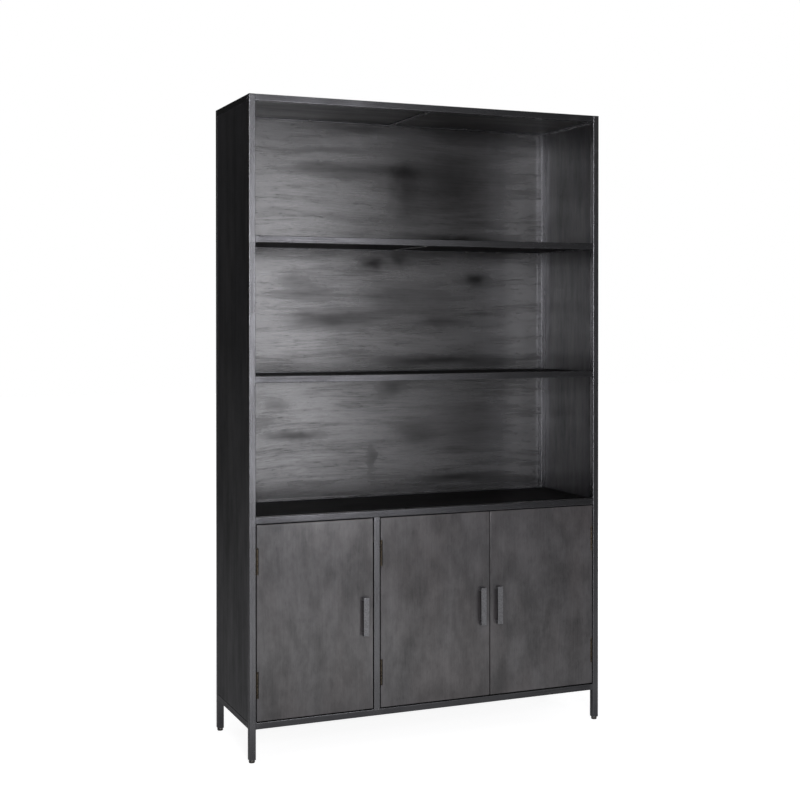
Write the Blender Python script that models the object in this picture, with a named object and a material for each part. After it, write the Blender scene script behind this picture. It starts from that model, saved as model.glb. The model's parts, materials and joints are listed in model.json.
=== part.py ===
"""Industrial bookcase: a welded frame of square steel tube with three open bays over three cupboard doors.

Metres, +Z up, the front faces -Y. The origin is under the middle of the bookcase, on the floor.
"""

from math import asin, cos, pi, sin

import bmesh
import bpy
from mathutils import Matrix, Vector

# Overall sizes. The depth is that of the frame with its back sheet, without the handles.
WIDTH = 1.200
DEPTH = 0.380
HEIGHT = 2.000

# Square steel tube, and the flat bar welded between the tubes
TUBE = 0.020
WALL = 0.0015
TUBE_ROUND = 0.0016
BAR_WIDTH = 0.020
BAR_THICK = 0.003
WELD_DEPTH = 0.001
LEG = 0.100
DOOR_OPENING = 0.595

# Boards, panels and sheets
BOARD = 0.012
BOARD_REVEAL = 0.004
PANEL = 0.003
PANEL_REVEAL = 0.0005
LINER = 0.012
BACK_SHEET = 0.004
SHEET_INSET = 0.002
PARTITION_REVEAL = 0.001
WOOD_EDGE = 0.0008

# Doors
DOOR = 0.018
DOOR_SETBACK = 0.001

# Butt hinges, two to a door
HINGE_LENGTH = 0.080
HINGE_FROM_END = 0.109
LEAF = 0.0011
LEAF_PLAY = 0.0002
LEAF_INSET = 0.003
BARREL_RADIUS = 0.003
BARREL_FROM_POST = 0.0025
BARREL_SETBACK = 0.0002
PIN_RADIUS = 0.0013
PIN_CLEARANCE = 0.0003
KNUCKLES = 5
KNUCKLE_GAP = 0.0003
NOTCH_CLEARANCE = 0.0005

# Strip handles on two legs
HANDLE_LENGTH = 0.120
HANDLE_WIDTH = 0.018
HANDLE_THICK = 0.004
HANDLE_REACH = 0.018
HANDLE_LEG = 0.011
HANDLE_ROUND = 0.001
HANDLE_FROM_EDGE = 0.019
HANDLE_DROP = 0.006

# Adjustable shelves inside the cupboard, on pegs
INNER_SHELF = 0.015
SHELF_SETBACK = 0.030
SHELF_CLEARANCE = 0.002
PEG_RADIUS = 0.0025
PEG_OUT = 0.009
PEG_IN = 0.006
PEG_COLLAR = 0.0012
PEG_COLLAR_RADIUS = 0.0042
HOLE_CLEARANCE = 0.0003
HOLE_PITCH = 0.050
HOLES = 5
HOLE_FROM_EDGE = 0.045

# Glides pressed into the legs, and magnetic catches for the doors
GLIDE_INSET = 0.0008
GLIDE_HEIGHT = 0.009
GLIDE_STEM = 0.015
GLIDE_FIT = 0.0010
CATCH_WIDTH = 0.040
CATCH_DEPTH = 0.014
CATCH_HEIGHT = 0.013
CATCH_FROM_EDGE = 0.055
STRIKE = 0.0012

# Clearance between pieces that touch
FIT = 0.0003

# Derived places. A shut hinge, two leaves thick, fills the gap beside its door.
DOOR_GAP = 2 * LEAF + LEAF_PLAY + 2 * FIT
BARREL_OUT = BARREL_FROM_POST + BARREL_RADIUS
BARREL_BACK = BARREL_SETBACK + BARREL_RADIUS
LEAF_DEPTH = TUBE - LEAF_INSET
PARTITION = TUBE - 2 * PARTITION_REVEAL
GLIDE_RADIUS = TUBE / 2 - GLIDE_INSET
FRONT = (HANDLE_REACH - DOOR_SETBACK - DEPTH) / 2
FRAME_DEPTH = DEPTH - BACK_SHEET - FIT
REAR = FRONT + FRAME_DEPTH
LEFT, RIGHT = -WIDTH / 2, WIDTH / 2
FRONT_IN, REAR_IN = FRONT + TUBE, REAR - TUBE
BOTTOM_Z = LEG
DECK_Z = LEG + TUBE + DOOR_OPENING
TOP_Z = HEIGHT - TUBE
BAY = (TOP_Z - DECK_Z - 3 * TUBE) / 3
LOWER_SHELF_Z = DECK_Z + TUBE + BAY
UPPER_SHELF_Z = LOWER_SHELF_Z + TUBE + BAY
CELL = (WIDTH - 3 * TUBE) / 3
MULLION_LEFT = LEFT + TUBE + CELL
MULLION_RIGHT = MULLION_LEFT + TUBE
PARTITION_X = (MULLION_LEFT + MULLION_RIGHT) / 2
PANEL_IN = PANEL_REVEAL + PANEL
LINER_IN = PANEL_IN + FIT + LINER
DOOR_LOW = BOTTOM_Z + TUBE + DOOR_GAP
DOOR_HIGH = DECK_Z - DOOR_GAP
FLOOR_TOP = BOTTOM_Z + BOARD_REVEAL + BOARD
DECK_UNDER = DECK_Z + BOARD_REVEAL
SHELF_HOLE_Z = (FLOOR_TOP + DECK_UNDER) / 2


# ---------------------------------------------------------------- scene and materials

for old in list(bpy.data.objects):
    bpy.data.objects.remove(old, do_unlink=True)


def material(name, colour, roughness, metallic=0.0):
    made = bpy.data.materials.new(name)
    made.use_nodes = True
    shader = made.node_tree.nodes["Principled BSDF"]
    shader.inputs["Base Color"].default_value = (*colour, 1.0)
    shader.inputs["Roughness"].default_value = roughness
    shader.inputs["Metallic"].default_value = metallic
    return made


STEEL = material("frame_steel", (0.16, 0.165, 0.175), 0.38, 0.9)
DOOR_WOOD = material("door_wood", (0.115, 0.108, 0.108), 0.32)
BOARD_WOOD = material("board_wood", (0.125, 0.115, 0.112), 0.34)
BACK_WOOD = material("back_wood", (0.150, 0.138, 0.132), 0.36)
HINGE_BRASS = material("hinge_brass", (0.32, 0.22, 0.11), 0.40, 1.0)
GLIDE_STEEL = material("glide_steel", (0.35, 0.35, 0.36), 0.35, 1.0)
CATCH_PLASTIC = material("catch_plastic", (0.10, 0.07, 0.05), 0.50)


# ---------------------------------------------------------------- shapes

def block(low, high, edge=0.0):
    """A box between two corners, with its edges rounded by the radius edge."""
    low, high = Vector(low), Vector(high)
    shape = bmesh.new()
    bmesh.ops.create_cube(shape, size=1.0)
    bmesh.ops.scale(shape, vec=high - low, verts=shape.verts)
    bmesh.ops.translate(shape, vec=(low + high) / 2, verts=shape.verts)
    if edge:
        bmesh.ops.bevel(
            shape, geom=shape.edges[:], offset=edge, segments=2, profile=0.5, affect="EDGES"
        )
    return shape


def prism(outline, start, length, frame):
    """An outline of (a, b) points, pushed along the third axis of frame (three unit vectors a, b, c)."""
    side_a, side_b, along = (Vector(axis) for axis in frame)
    shape = bmesh.new()
    ends = []
    for step in (start, start + length):
        ends.append([shape.verts.new(side_a * a + side_b * b + along * step) for a, b in outline])
    shape.faces.new(ends[0])
    shape.faces.new(ends[1])
    for i in range(len(outline)):
        j = (i + 1) % len(outline)
        shape.faces.new((ends[0][i], ends[0][j], ends[1][j], ends[1][i]))
    bmesh.ops.recalc_face_normals(shape, faces=shape.faces)
    return shape


def arc(centre, radius, start, end, steps):
    angles = [start + (end - start) * i / steps for i in range(steps + 1)]
    return [(centre[0] + radius * cos(t), centre[1] + radius * sin(t)) for t in angles]


def rounded_square(size, radius, steps=3):
    """The outline of a square of this size about the origin, with rounded corners."""
    middle = size / 2 - radius
    points = []
    for quarter in range(4):
        start = quarter * pi / 2
        x = middle * (1 if quarter in (0, 3) else -1)
        y = middle * (1 if quarter in (0, 1) else -1)
        points += arc((x, y), radius, start, start + pi / 2, steps)
    return points


def ring_wall(shape, first, second):
    for i in range(len(first)):
        j = (i + 1) % len(first)
        shape.faces.new((first[i], first[j], second[j], second[i]))


def tube(start, end, capped=False):
    """Square tube from start to end, which differ along one axis. Capped closes its far end."""
    start, end = Vector(start), Vector(end)
    length = (end - start).length
    shape = bmesh.new()
    inner_round = max(TUBE_ROUND - WALL, 0.0003)
    levels = {"outer": (0, length), "inner": (0, length - WALL if capped else length)}
    sizes = {"outer": (TUBE, TUBE_ROUND), "inner": (TUBE - 2 * WALL, inner_round)}
    rings = {}
    for skin in ("outer", "inner"):
        outline = rounded_square(*sizes[skin])
        rings[skin] = [[shape.verts.new((x, y, z)) for x, y in outline] for z in levels[skin]]
        ring_wall(shape, *rings[skin])
    ring_wall(shape, rings["outer"][0], rings["inner"][0])
    if capped:
        shape.faces.new(rings["outer"][1])
        shape.faces.new(rings["inner"][1])
    else:
        ring_wall(shape, rings["outer"][1], rings["inner"][1])
    turn = Vector((0, 0, 1)).rotation_difference((end - start).normalized()).to_matrix().to_4x4()
    bmesh.ops.transform(shape, matrix=Matrix.Translation(start) @ turn, verts=shape.verts)
    bmesh.ops.recalc_face_normals(shape, faces=shape.faces)
    return shape


def turned(profile, place, axis=(0, 0, 1), steps=20):
    """A solid of revolution. Profile is (radius, height) points from the low end to the high one, both solid."""
    shape = bmesh.new()
    rings = []
    for radius, height in profile:
        angles = [2 * pi * i / steps for i in range(steps)]
        rings.append([shape.verts.new((radius * cos(t), radius * sin(t), height)) for t in angles])
    for low, high in zip(rings, rings[1:]):
        ring_wall(shape, low, high)
    shape.faces.new(rings[0])
    shape.faces.new(rings[-1])
    turn = Vector((0, 0, 1)).rotation_difference(Vector(axis)).to_matrix().to_4x4()
    bmesh.ops.transform(shape, matrix=Matrix.Translation(place) @ turn, verts=shape.verts)
    bmesh.ops.recalc_face_normals(shape, faces=shape.faces)
    return shape


def merged(shapes):
    """Several shapes that stand clear of each other, as one bmesh."""
    whole = bmesh.new()
    for shape in shapes:
        part = bpy.data.meshes.new("part")
        shape.to_mesh(part)
        shape.free()
        whole.from_mesh(part)
        bpy.data.meshes.remove(part)
    return whole


def add(name, shape, finish, origin=None, parent=None, smooth=False):
    """Makes an object of a shape given in world coordinates, with its origin at the shape's middle or as given."""
    mesh = bpy.data.meshes.new(name)
    shape.to_mesh(mesh)
    shape.free()
    points = [v.co for v in mesh.vertices]
    low = Vector(min(p[i] for p in points) for i in range(3))
    high = Vector(max(p[i] for p in points) for i in range(3))
    if parent:
        origin = parent.location
    origin = Vector(origin) if origin is not None else (low + high) / 2
    mesh.transform(Matrix.Translation(-origin))
    if smooth:
        mesh.shade_smooth()
        mesh.set_sharp_from_angle(angle=pi / 6)
    if finish:
        mesh.materials.append(finish)
    made = bpy.data.objects.new(name, mesh)
    bpy.context.scene.collection.objects.link(made)
    made.location = origin - (parent.location if parent else Vector())
    made.parent = parent
    return made


def boolean(target, operation, *shapes):
    """Joins shapes to the target, or cuts them out of it."""
    for i, shape in enumerate(shapes):
        tool = add(f"{target.name}_{operation.lower()}_{i}", shape, None)
        tool.hide_render = True
        tool.display_type = "WIRE"
        change = target.modifiers.new(f"{operation.lower()}_{i}", "BOOLEAN")
        change.operation = operation
        change.solver = "EXACT"
        change.object = tool


def hinge_axis(name, x, y):
    """An empty on a door's hinge line, which carries the door, its handle and its hinge leaves."""
    made = bpy.data.objects.new(name, None)
    bpy.context.scene.collection.objects.link(made)
    made.location = (x, y, (DOOR_LOW + DOOR_HIGH) / 2)
    return made


# ---------------------------------------------------------------- welded frame

def bar_under_board(x, level):
    """A flat bar from the front tube to the rear tube, just under the board that it carries."""
    high = level + BOARD_REVEAL - FIT
    low = (x - BAR_WIDTH / 2, FRONT_IN - WELD_DEPTH, high - BAR_THICK)
    return block(low, (x + BAR_WIDTH / 2, REAR_IN + WELD_DEPTH, high))


def rail(y, level):
    z = level + TUBE / 2
    return tube((LEFT + TUBE + FIT, y, z), (RIGHT - TUBE - FIT, y, z))


def level_frame(name, level, cleats):
    """Front and rear tubes with a brace in the middle and, where no side rail is, a cleat at each end."""
    made = add(name, rail(FRONT + TUBE / 2, level), STEEL, smooth=True)
    bars = [bar_under_board(0, level)]
    if cleats:
        end = WIDTH / 2 - TUBE - 2 * FIT - BAR_WIDTH / 2
        bars += [bar_under_board(-end, level), bar_under_board(end, level)]
    boolean(made, "UNION", rail(REAR - TUBE / 2, level), *bars)


for side_name, x in (("left", LEFT + TUBE / 2), ("right", RIGHT - TUBE / 2)):
    for face_name, y in (("front", FRONT + TUBE / 2), ("rear", REAR - TUBE / 2)):
        shape = tube((x, y, GLIDE_HEIGHT + FIT), (x, y, HEIGHT), capped=True)
        add(f"{face_name}_{side_name}_post", shape, STEEL, smooth=True)
    for level_name, level in (("bottom", BOTTOM_Z), ("top", TOP_Z)):
        z = level + TUBE / 2
        shape = tube((x, FRONT_IN + FIT, z), (x, REAR_IN - FIT, z))
        add(f"{level_name}_{side_name}_rail", shape, STEEL, smooth=True)

level_frame("bottom_frame", BOTTOM_Z, cleats=False)
level_frame("deck_frame", DECK_Z, cleats=True)
level_frame("lower_shelf_frame", LOWER_SHELF_Z, cleats=True)
level_frame("upper_shelf_frame", UPPER_SHELF_Z, cleats=True)
level_frame("top_frame", TOP_Z, cleats=False)

mullion_y = FRONT + TUBE / 2
mullion_foot = (PARTITION_X, mullion_y, BOTTOM_Z + TUBE + FIT)
mullion_head = (PARTITION_X, mullion_y, DECK_Z - FIT)
add("mullion_post", tube(mullion_foot, mullion_head), STEEL, smooth=True)


# ---------------------------------------------------------------- boards, panels and back

def board(name, level, half_width):
    low = (-half_width, FRONT_IN + FIT, level + BOARD_REVEAL)
    high = (half_width, REAR_IN - FIT, level + BOARD_REVEAL + BOARD)
    add(name, block(low, high, WOOD_EDGE), BOARD_WOOD)


between_rails = WIDTH / 2 - TUBE - FIT
between_panels = WIDTH / 2 - PANEL_IN - FIT
board("bottom_board", BOTTOM_Z, between_rails)
board("deck_board", DECK_Z, between_panels)
board("lower_shelf_board", LOWER_SHELF_Z, between_panels)
board("upper_shelf_board", UPPER_SHELF_Z, between_panels)
board("top_board", TOP_Z, between_rails)

shelf_front = FRONT + SHELF_SETBACK
shelf_rear = REAR_IN - SHELF_CLEARANCE
peg_rows = (shelf_front + HOLE_FROM_EDGE, shelf_rear - HOLE_FROM_EDGE)


def peg_holes(face_x, inward):
    """Two columns of blind holes in the face at face_x. Inward is +1 or -1, the way the holes run."""
    radius = PEG_RADIUS + HOLE_CLEARANCE
    profile = ((radius, -0.001), (radius, PEG_IN + HOLE_CLEARANCE))
    heights = [SHELF_HOLE_Z + (i - HOLES // 2) * HOLE_PITCH for i in range(HOLES)]
    places = [(face_x, y, z) for y in peg_rows for z in heights]
    return merged(turned(profile, place, (inward, 0, 0), 12) for place in places)


# The side panels are thin and run past every level. In the cupboard a thicker liner stands inside each one.
for side_name, side in (("left", -1), ("right", 1)):
    outer, inner = side * (WIDTH / 2 - PANEL_REVEAL), side * (WIDTH / 2 - PANEL_IN)
    low = (min(outer, inner), FRONT_IN + FIT, BOTTOM_Z + TUBE + FIT)
    high = (max(outer, inner), REAR_IN - FIT, TOP_Z - FIT)
    add(f"{side_name}_panel", block(low, high), BOARD_WOOD)
    outer, inner = side * (WIDTH / 2 - PANEL_IN - FIT), side * (WIDTH / 2 - LINER_IN)
    low = (min(outer, inner), FRONT_IN + FIT, BOTTOM_Z + TUBE + FIT)
    high = (max(outer, inner), REAR_IN - FIT, DECK_UNDER - FIT)
    liner = add(f"{side_name}_cupboard_liner", block(low, high, WOOD_EDGE), BOARD_WOOD)
    boolean(liner, "DIFFERENCE", peg_holes(inner, side))

sheet_edge = WIDTH / 2 - SHEET_INSET
low = (-sheet_edge, REAR + FIT, BOTTOM_Z + SHEET_INSET)
high = (sheet_edge, FRONT + DEPTH, HEIGHT - SHEET_INSET)
add("back_sheet", block(low, high), BACK_WOOD)

partition_outline = (
    (FRONT_IN + FIT, FLOOR_TOP + FIT),
    (REAR_IN - FIT, FLOOR_TOP + FIT),
    (REAR_IN - FIT, BOTTOM_Z + TUBE + FIT),
    (REAR - FIT, BOTTOM_Z + TUBE + FIT),
    (REAR - FIT, DECK_Z - FIT),
    (REAR_IN - FIT, DECK_Z - FIT),
    (REAR_IN - FIT, DECK_UNDER - FIT),
    (FRONT_IN + FIT, DECK_UNDER - FIT),
)
partition_left, partition_right = PARTITION_X - PARTITION / 2, PARTITION_X + PARTITION / 2
shape = prism(partition_outline, partition_left, PARTITION, ((0, 1, 0), (0, 0, 1), (1, 0, 0)))
partition = add("cupboard_partition", shape, BOARD_WOOD)
boolean(partition, "DIFFERENCE", peg_holes(partition_left, 1), peg_holes(partition_right, -1))


# ---------------------------------------------------------------- adjustable shelves and their pegs

peg_profile = (
    (PEG_RADIUS, -PEG_IN),
    (PEG_RADIUS, FIT),
    (PEG_COLLAR_RADIUS, FIT),
    (PEG_COLLAR_RADIUS, FIT + PEG_COLLAR),
    (PEG_RADIUS, FIT + PEG_COLLAR),
    (PEG_RADIUS, PEG_OUT),
)
cupboards = (
    ("left", LEFT + LINER_IN, partition_left),
    ("right", partition_right, RIGHT - LINER_IN),
)
for cupboard, left_face, right_face in cupboards:
    clearance = SHELF_CLEARANCE + PEG_COLLAR
    shelf_low = SHELF_HOLE_Z + PEG_RADIUS + FIT
    low = (left_face + clearance, shelf_front, shelf_low)
    high = (right_face - clearance, shelf_rear, shelf_low + INNER_SHELF)
    add(f"{cupboard}_inner_shelf", block(low, high, WOOD_EDGE), BOARD_WOOD)
    for row_name, y in zip(("front", "rear"), peg_rows):
        for end_name, x, out in (("left", left_face, 1), ("right", right_face, -1)):
            shape = turned(peg_profile, (x, y, SHELF_HOLE_Z), (out, 0, 0), 12)
            name = f"{cupboard}_shelf_peg_{row_name}_{end_name}"
            add(name, shape, GLIDE_STEEL, smooth=True)


# ---------------------------------------------------------------- hinges
# A hinge is drawn in (out, back): out is the distance from the post's face towards the door, back
# the distance behind the frame's front. Its knuckles turn about (BARREL_OUT, BARREL_BACK).

barrel_rear = BARREL_BACK + BARREL_RADIUS
door_leaf_out = DOOR_GAP - FIT - LEAF
knuckle_pitch = HINGE_LENGTH / KNUCKLES


def knuckle_outline(leaf_out, steps=14):
    """A round knuckle with the flat web that joins it to its leaf, tangent to the knuckle's rear."""
    meet = pi - asin((BARREL_RADIUS - LEAF) / BARREL_RADIUS)
    round_part = arc((BARREL_OUT, BARREL_BACK), BARREL_RADIUS, pi / 2, meet - 2 * pi, steps)
    return [(leaf_out, barrel_rear)] + round_part + [(leaf_out, barrel_rear - LEAF)]


def hinge_space(face_x, side):
    """World axes for (out, back, up), and the offset of a hinge drawn at the post face face_x."""
    return ((side, 0, 0), (0, 1, 0), (0, 0, 1)), Vector((face_x, FRONT, 0))


def hinge_box(face_x, side, outs, backs, heights):
    xs = sorted(face_x + side * out for out in outs)
    ys = [FRONT + back for back in backs]
    return block((xs[0], ys[0], heights[0]), (xs[1], ys[1], heights[1]))


def knuckle_shapes(face_x, side, foot, leaf_out, numbers):
    axes, offset = hinge_space(face_x, side)
    shapes = []
    for number in numbers:
        low = foot + number * knuckle_pitch + (KNUCKLE_GAP / 2 if number else 0)
        high = foot + (number + 1) * knuckle_pitch - (KNUCKLE_GAP / 2 if number < KNUCKLES - 1 else 0)
        shape = prism(knuckle_outline(leaf_out), low, high - low, axes)
        bmesh.ops.translate(shape, vec=offset, verts=shape.verts)
        shapes.append(shape)
    return shapes


def pin_shape(face_x, side, foot, radius, extra=0.0):
    place = (face_x + side * BARREL_OUT, FRONT + BARREL_BACK, foot - extra)
    profile = ((radius, KNUCKLE_GAP), (radius, HINGE_LENGTH - KNUCKLE_GAP + 2 * extra))
    return turned(profile, place, steps=12)


def frame_leaf(name, face_x, side, foot):
    """The leaf on the post, with the odd knuckles and the pin."""
    outs, backs = (FIT, FIT + LEAF), (barrel_rear - LEAF, LEAF_DEPTH)
    leaf = hinge_box(face_x, side, outs, backs, (foot, foot + HINGE_LENGTH))
    made = add(name, leaf, HINGE_BRASS, smooth=True)
    knuckles = knuckle_shapes(face_x, side, foot, FIT, range(0, KNUCKLES, 2))
    boolean(made, "UNION", merged(knuckles), pin_shape(face_x, side, foot, PIN_RADIUS))


def door_leaf(name, face_x, side, foot, carrier):
    """The leaf on the door's edge, with the even knuckles, bored for the pin."""
    outs = (door_leaf_out, door_leaf_out + LEAF)
    backs = (barrel_rear + KNUCKLE_GAP, LEAF_DEPTH)
    leaf = hinge_box(face_x, side, outs, backs, (foot, foot + HINGE_LENGTH))
    made = add(name, leaf, HINGE_BRASS, parent=carrier, smooth=True)
    even = range(1, KNUCKLES, 2)
    webs = []
    for number in even:
        low = foot + number * knuckle_pitch + KNUCKLE_GAP / 2
        high = foot + (number + 1) * knuckle_pitch - KNUCKLE_GAP / 2
        webs.append(hinge_box(face_x, side, outs, (barrel_rear - LEAF, LEAF_DEPTH / 2), (low, high)))
    knuckles = knuckle_shapes(face_x, side, foot, door_leaf_out, even)
    boolean(made, "UNION", merged(webs), merged(knuckles))
    bore = PIN_RADIUS + PIN_CLEARANCE
    boolean(made, "DIFFERENCE", pin_shape(face_x, side, foot, bore, extra=0.002))


# ---------------------------------------------------------------- doors and handles

def handle_outline():
    """The side view of the handle, in (reach, height) about its middle: a U open towards the door."""
    half, deep = HANDLE_LENGTH / 2, HANDLE_REACH
    inside = half - HANDLE_LEG
    under = deep - HANDLE_THICK
    points = [(FIT, -half)]
    points += arc((deep - HANDLE_ROUND, -half + HANDLE_ROUND), HANDLE_ROUND, -pi / 2, 0, 4)
    points += arc((deep - HANDLE_ROUND, half - HANDLE_ROUND), HANDLE_ROUND, 0, pi / 2, 4)
    return points + [(FIT, half), (FIT, inside), (under, inside), (under, -inside), (FIT, -inside)]


def door_set(name, left, right, hinged_left):
    """A door between left and right (the opening's faces), with its handle, hinges and catch."""
    side = 1 if hinged_left else -1
    face_x, free_x = (left[0], right[0]) if hinged_left else (right[0], left[0])
    free_edge = free_x - side * (right[1] if hinged_left else left[1])
    hung_edge = face_x + side * DOOR_GAP
    carrier = hinge_axis(f"{name}_axis", face_x + side * BARREL_OUT, FRONT + BARREL_BACK)
    low_x, high_x = sorted((free_edge, hung_edge))
    door_front = FRONT + DOOR_SETBACK
    low, high = (low_x, door_front, DOOR_LOW), (high_x, door_front + DOOR, DOOR_HIGH)
    door = add(name, block(low, high, WOOD_EDGE), DOOR_WOOD, parent=carrier)
    feet = {
        "lower": DOOR_LOW + HINGE_FROM_END - HINGE_LENGTH / 2,
        "upper": DOOR_HIGH - HINGE_FROM_END - HINGE_LENGTH / 2,
    }
    notch_outs = (DOOR_GAP - NOTCH_CLEARANCE, BARREL_OUT + BARREL_RADIUS + NOTCH_CLEARANCE)
    notch_backs = (DOOR_SETBACK - NOTCH_CLEARANCE, barrel_rear + 2 * KNUCKLE_GAP)
    notches = []
    for level_name, foot in feet.items():
        heights = (foot - NOTCH_CLEARANCE, foot + HINGE_LENGTH + NOTCH_CLEARANCE)
        notches.append(hinge_box(face_x, side, notch_outs, notch_backs, heights))
        frame_leaf(f"{name}_{level_name}_hinge_frame_leaf", face_x, side, foot)
        door_leaf(f"{name}_{level_name}_hinge_door_leaf", face_x, side, foot, carrier)
    boolean(door, "DIFFERENCE", merged(notches))

    handle_x = free_edge - side * (HANDLE_FROM_EDGE + HANDLE_WIDTH / 2)
    handle_z = (DOOR_LOW + DOOR_HIGH) / 2 - HANDLE_DROP
    outline = [(door_front - reach, handle_z + height) for reach, height in handle_outline()]
    axes = ((0, 1, 0), (0, 0, 1), (1, 0, 0))
    strip = prism(outline, handle_x - HANDLE_WIDTH / 2, HANDLE_WIDTH, axes)
    add(f"{name}_handle", strip, STEEL, parent=carrier, smooth=True)

    catch_x = free_edge - side * CATCH_FROM_EDGE
    catch_y = max(FRONT_IN, door_front + DOOR + STRIKE) + FIT
    low = (catch_x - CATCH_WIDTH / 2, catch_y, DECK_UNDER - FIT - CATCH_HEIGHT)
    high = (catch_x + CATCH_WIDTH / 2, catch_y + CATCH_DEPTH, DECK_UNDER - FIT)
    add(f"{name}_catch", block(low, high, WOOD_EDGE), CATCH_PLASTIC)


# The centre and right doors meet at this place with half a gap each, with no post between them.
meeting = MULLION_RIGHT + CELL
door_set("left_door", (LEFT + TUBE, DOOR_GAP), (MULLION_LEFT, DOOR_GAP), True)
door_set("centre_door", (MULLION_RIGHT, DOOR_GAP), (meeting, DOOR_GAP / 2), True)
door_set("right_door", (meeting, DOOR_GAP / 2), (RIGHT - TUBE, DOOR_GAP), False)


# ---------------------------------------------------------------- glides

stem_radius = TUBE / 2 - WALL - GLIDE_FIT
glide_profile = (
    (GLIDE_RADIUS - 0.001, 0.0),
    (GLIDE_RADIUS, 0.001),
    (GLIDE_RADIUS, GLIDE_HEIGHT),
    (stem_radius, GLIDE_HEIGHT),
    (stem_radius, GLIDE_HEIGHT + GLIDE_STEM),
)
for side_name, x in (("left", LEFT + TUBE / 2), ("right", RIGHT - TUBE / 2)):
    for face_name, y in (("front", FRONT + TUBE / 2), ("rear", REAR - TUBE / 2)):
        shape = turned(glide_profile, (x, y, 0))
        add(f"{face_name}_{side_name}_glide", shape, GLIDE_STEEL, smooth=True)
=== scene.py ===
"""Industrial bookcase with cupboard: a welded square tube frame filled with charcoal stained wood.

Metres, +Z up, the doors face -Y. The sections follow the bookcase as it is put together.
"""

import json
from math import cos, pi, radians, sin

import bpy
import numpy as np
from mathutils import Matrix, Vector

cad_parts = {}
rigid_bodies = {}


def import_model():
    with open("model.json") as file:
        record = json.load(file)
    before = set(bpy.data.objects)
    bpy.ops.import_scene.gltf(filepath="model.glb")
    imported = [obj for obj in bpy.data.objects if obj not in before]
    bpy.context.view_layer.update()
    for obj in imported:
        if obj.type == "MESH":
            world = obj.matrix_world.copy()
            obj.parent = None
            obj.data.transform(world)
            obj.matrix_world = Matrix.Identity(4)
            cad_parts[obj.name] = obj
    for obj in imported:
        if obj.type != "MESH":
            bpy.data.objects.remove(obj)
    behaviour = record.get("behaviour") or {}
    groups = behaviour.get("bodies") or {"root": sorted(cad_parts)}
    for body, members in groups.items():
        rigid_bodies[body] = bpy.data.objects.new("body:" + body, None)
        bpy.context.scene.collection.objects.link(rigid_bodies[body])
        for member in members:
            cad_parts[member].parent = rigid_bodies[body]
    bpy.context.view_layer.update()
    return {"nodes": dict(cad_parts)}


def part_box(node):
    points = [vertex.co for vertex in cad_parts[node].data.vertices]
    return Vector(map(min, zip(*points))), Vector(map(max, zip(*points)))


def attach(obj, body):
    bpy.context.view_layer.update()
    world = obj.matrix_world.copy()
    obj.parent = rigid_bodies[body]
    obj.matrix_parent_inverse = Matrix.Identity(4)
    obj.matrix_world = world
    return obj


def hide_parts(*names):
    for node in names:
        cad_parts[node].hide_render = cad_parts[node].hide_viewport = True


for old in list(bpy.data.objects):
    bpy.data.objects.remove(old, do_unlink=True)
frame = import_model()
cad = frame["nodes"]


# ---------------------------------------------------------------- corner posts
# Four lengths of 20 mm square steel tube run from the floor to the top, so that their lower ends are
# the legs. The tops are capped and ground flat. All the steel is blackened, rubbed and lacquered.

TUBE = 0.020
TUBE_WALL = 0.0015
TUBE_ROUND = 0.0016
CAP_ROUND = 0.0008
BORE_ROUND = 0.0006
RING_PITCH = 0.006
FIT = 0.0003
LEVEL_NAMES = ("bottom", "deck", "lower_shelf", "upper_shelf", "top")
LEVELS = [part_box(f"{level}_frame")[0][2] for level in LEVEL_NAMES]
GROUND_REACH = 0.011
GUNMETAL = (0.120, 0.120, 0.126, 1)
# Rubbed steel: the colour of ground welds, and of the corners, where it is partly painted highlight.
RUBBED_STEEL_AND_HIGHLIGHT = (0.21, 0.21, 0.22, 1)
DARK_OXIDE = (0.050, 0.049, 0.053, 1)


def rounded_ring(width, depth, radius, steps=6, shoulder=0.0012):
    """Points round a rectangle with rounded corners, with the edge wear and painted highlight on each
    point.

    A corner is its centre plus radius times (cos t, sin t) over a quarter turn. One more point stands a
    shoulder away on the flat at each side of it, where the wear and painted highlight of the edge have
    faded out."""
    sign = np.array([(1, 1), (-1, 1), (-1, -1), (1, -1)])
    centre = sign * (width / 2 - radius, depth / 2 - radius)
    t = (np.arange(4)[:, None] + np.linspace(0, 1, steps + 1)) * pi / 2
    corner = centre[:, None] + radius * np.stack([np.cos(t), np.sin(t)], axis=-1)
    tangent = np.stack([-np.sin(t), np.cos(t)], axis=-1)
    lead = corner[:, :1] - shoulder * tangent[:, :1]
    trail = corner[:, -1:] + shoulder * tangent[:, -1:]
    wear_and_highlight = np.ones((4, steps + 3))
    wear_and_highlight[:, [0, -1]] = 0
    return np.concatenate([lead, corner, trail], axis=1).reshape(-1, 2), wear_and_highlight.ravel()


def carried(ring, stations, axis, centre):
    """The ring at each station along one axis (0 is x, 1 is y, 2 is z) of a line through centre."""
    rings = np.zeros((len(stations), len(ring), 3))
    rings[:, :, :2] = ring
    rings[:, :, 2] = np.asarray(stations)[:, None]
    return np.roll(rings, axis + 1, axis=-1) + centre


def skin(rings, wrap=False):
    """Four-sided faces over rings of points.

    Wrap joins the last ring to the first. Without it, each end is filled."""
    count, size = rings.shape[:2]
    first = np.arange(count if wrap else count - 1)[:, None] * size
    second = (first + size) % (count * size)
    here, there = np.arange(size), np.roll(np.arange(size), -1)
    faces = np.stack([first + here, first + there, second + there, second + here], axis=-1)
    faces = faces.reshape(-1, 4).tolist()
    if not wrap:
        faces += [here[::-1].tolist(), (here + (count - 1) * size).tolist()]
    return rings.reshape(-1, 3), faces


def joined(shells):
    """Several (points, faces, edge, ground) shells as one."""
    starts = np.cumsum([0] + [len(shell[0]) for shell in shells])
    faces = [[i + start for i in face] for shell, start in zip(shells, starts) for face in shell[1]]
    return (np.concatenate([shell[0] for shell in shells]), faces) + tuple(
        np.concatenate([shell[k] for shell in shells]) for k in (2, 3)
    )


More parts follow.
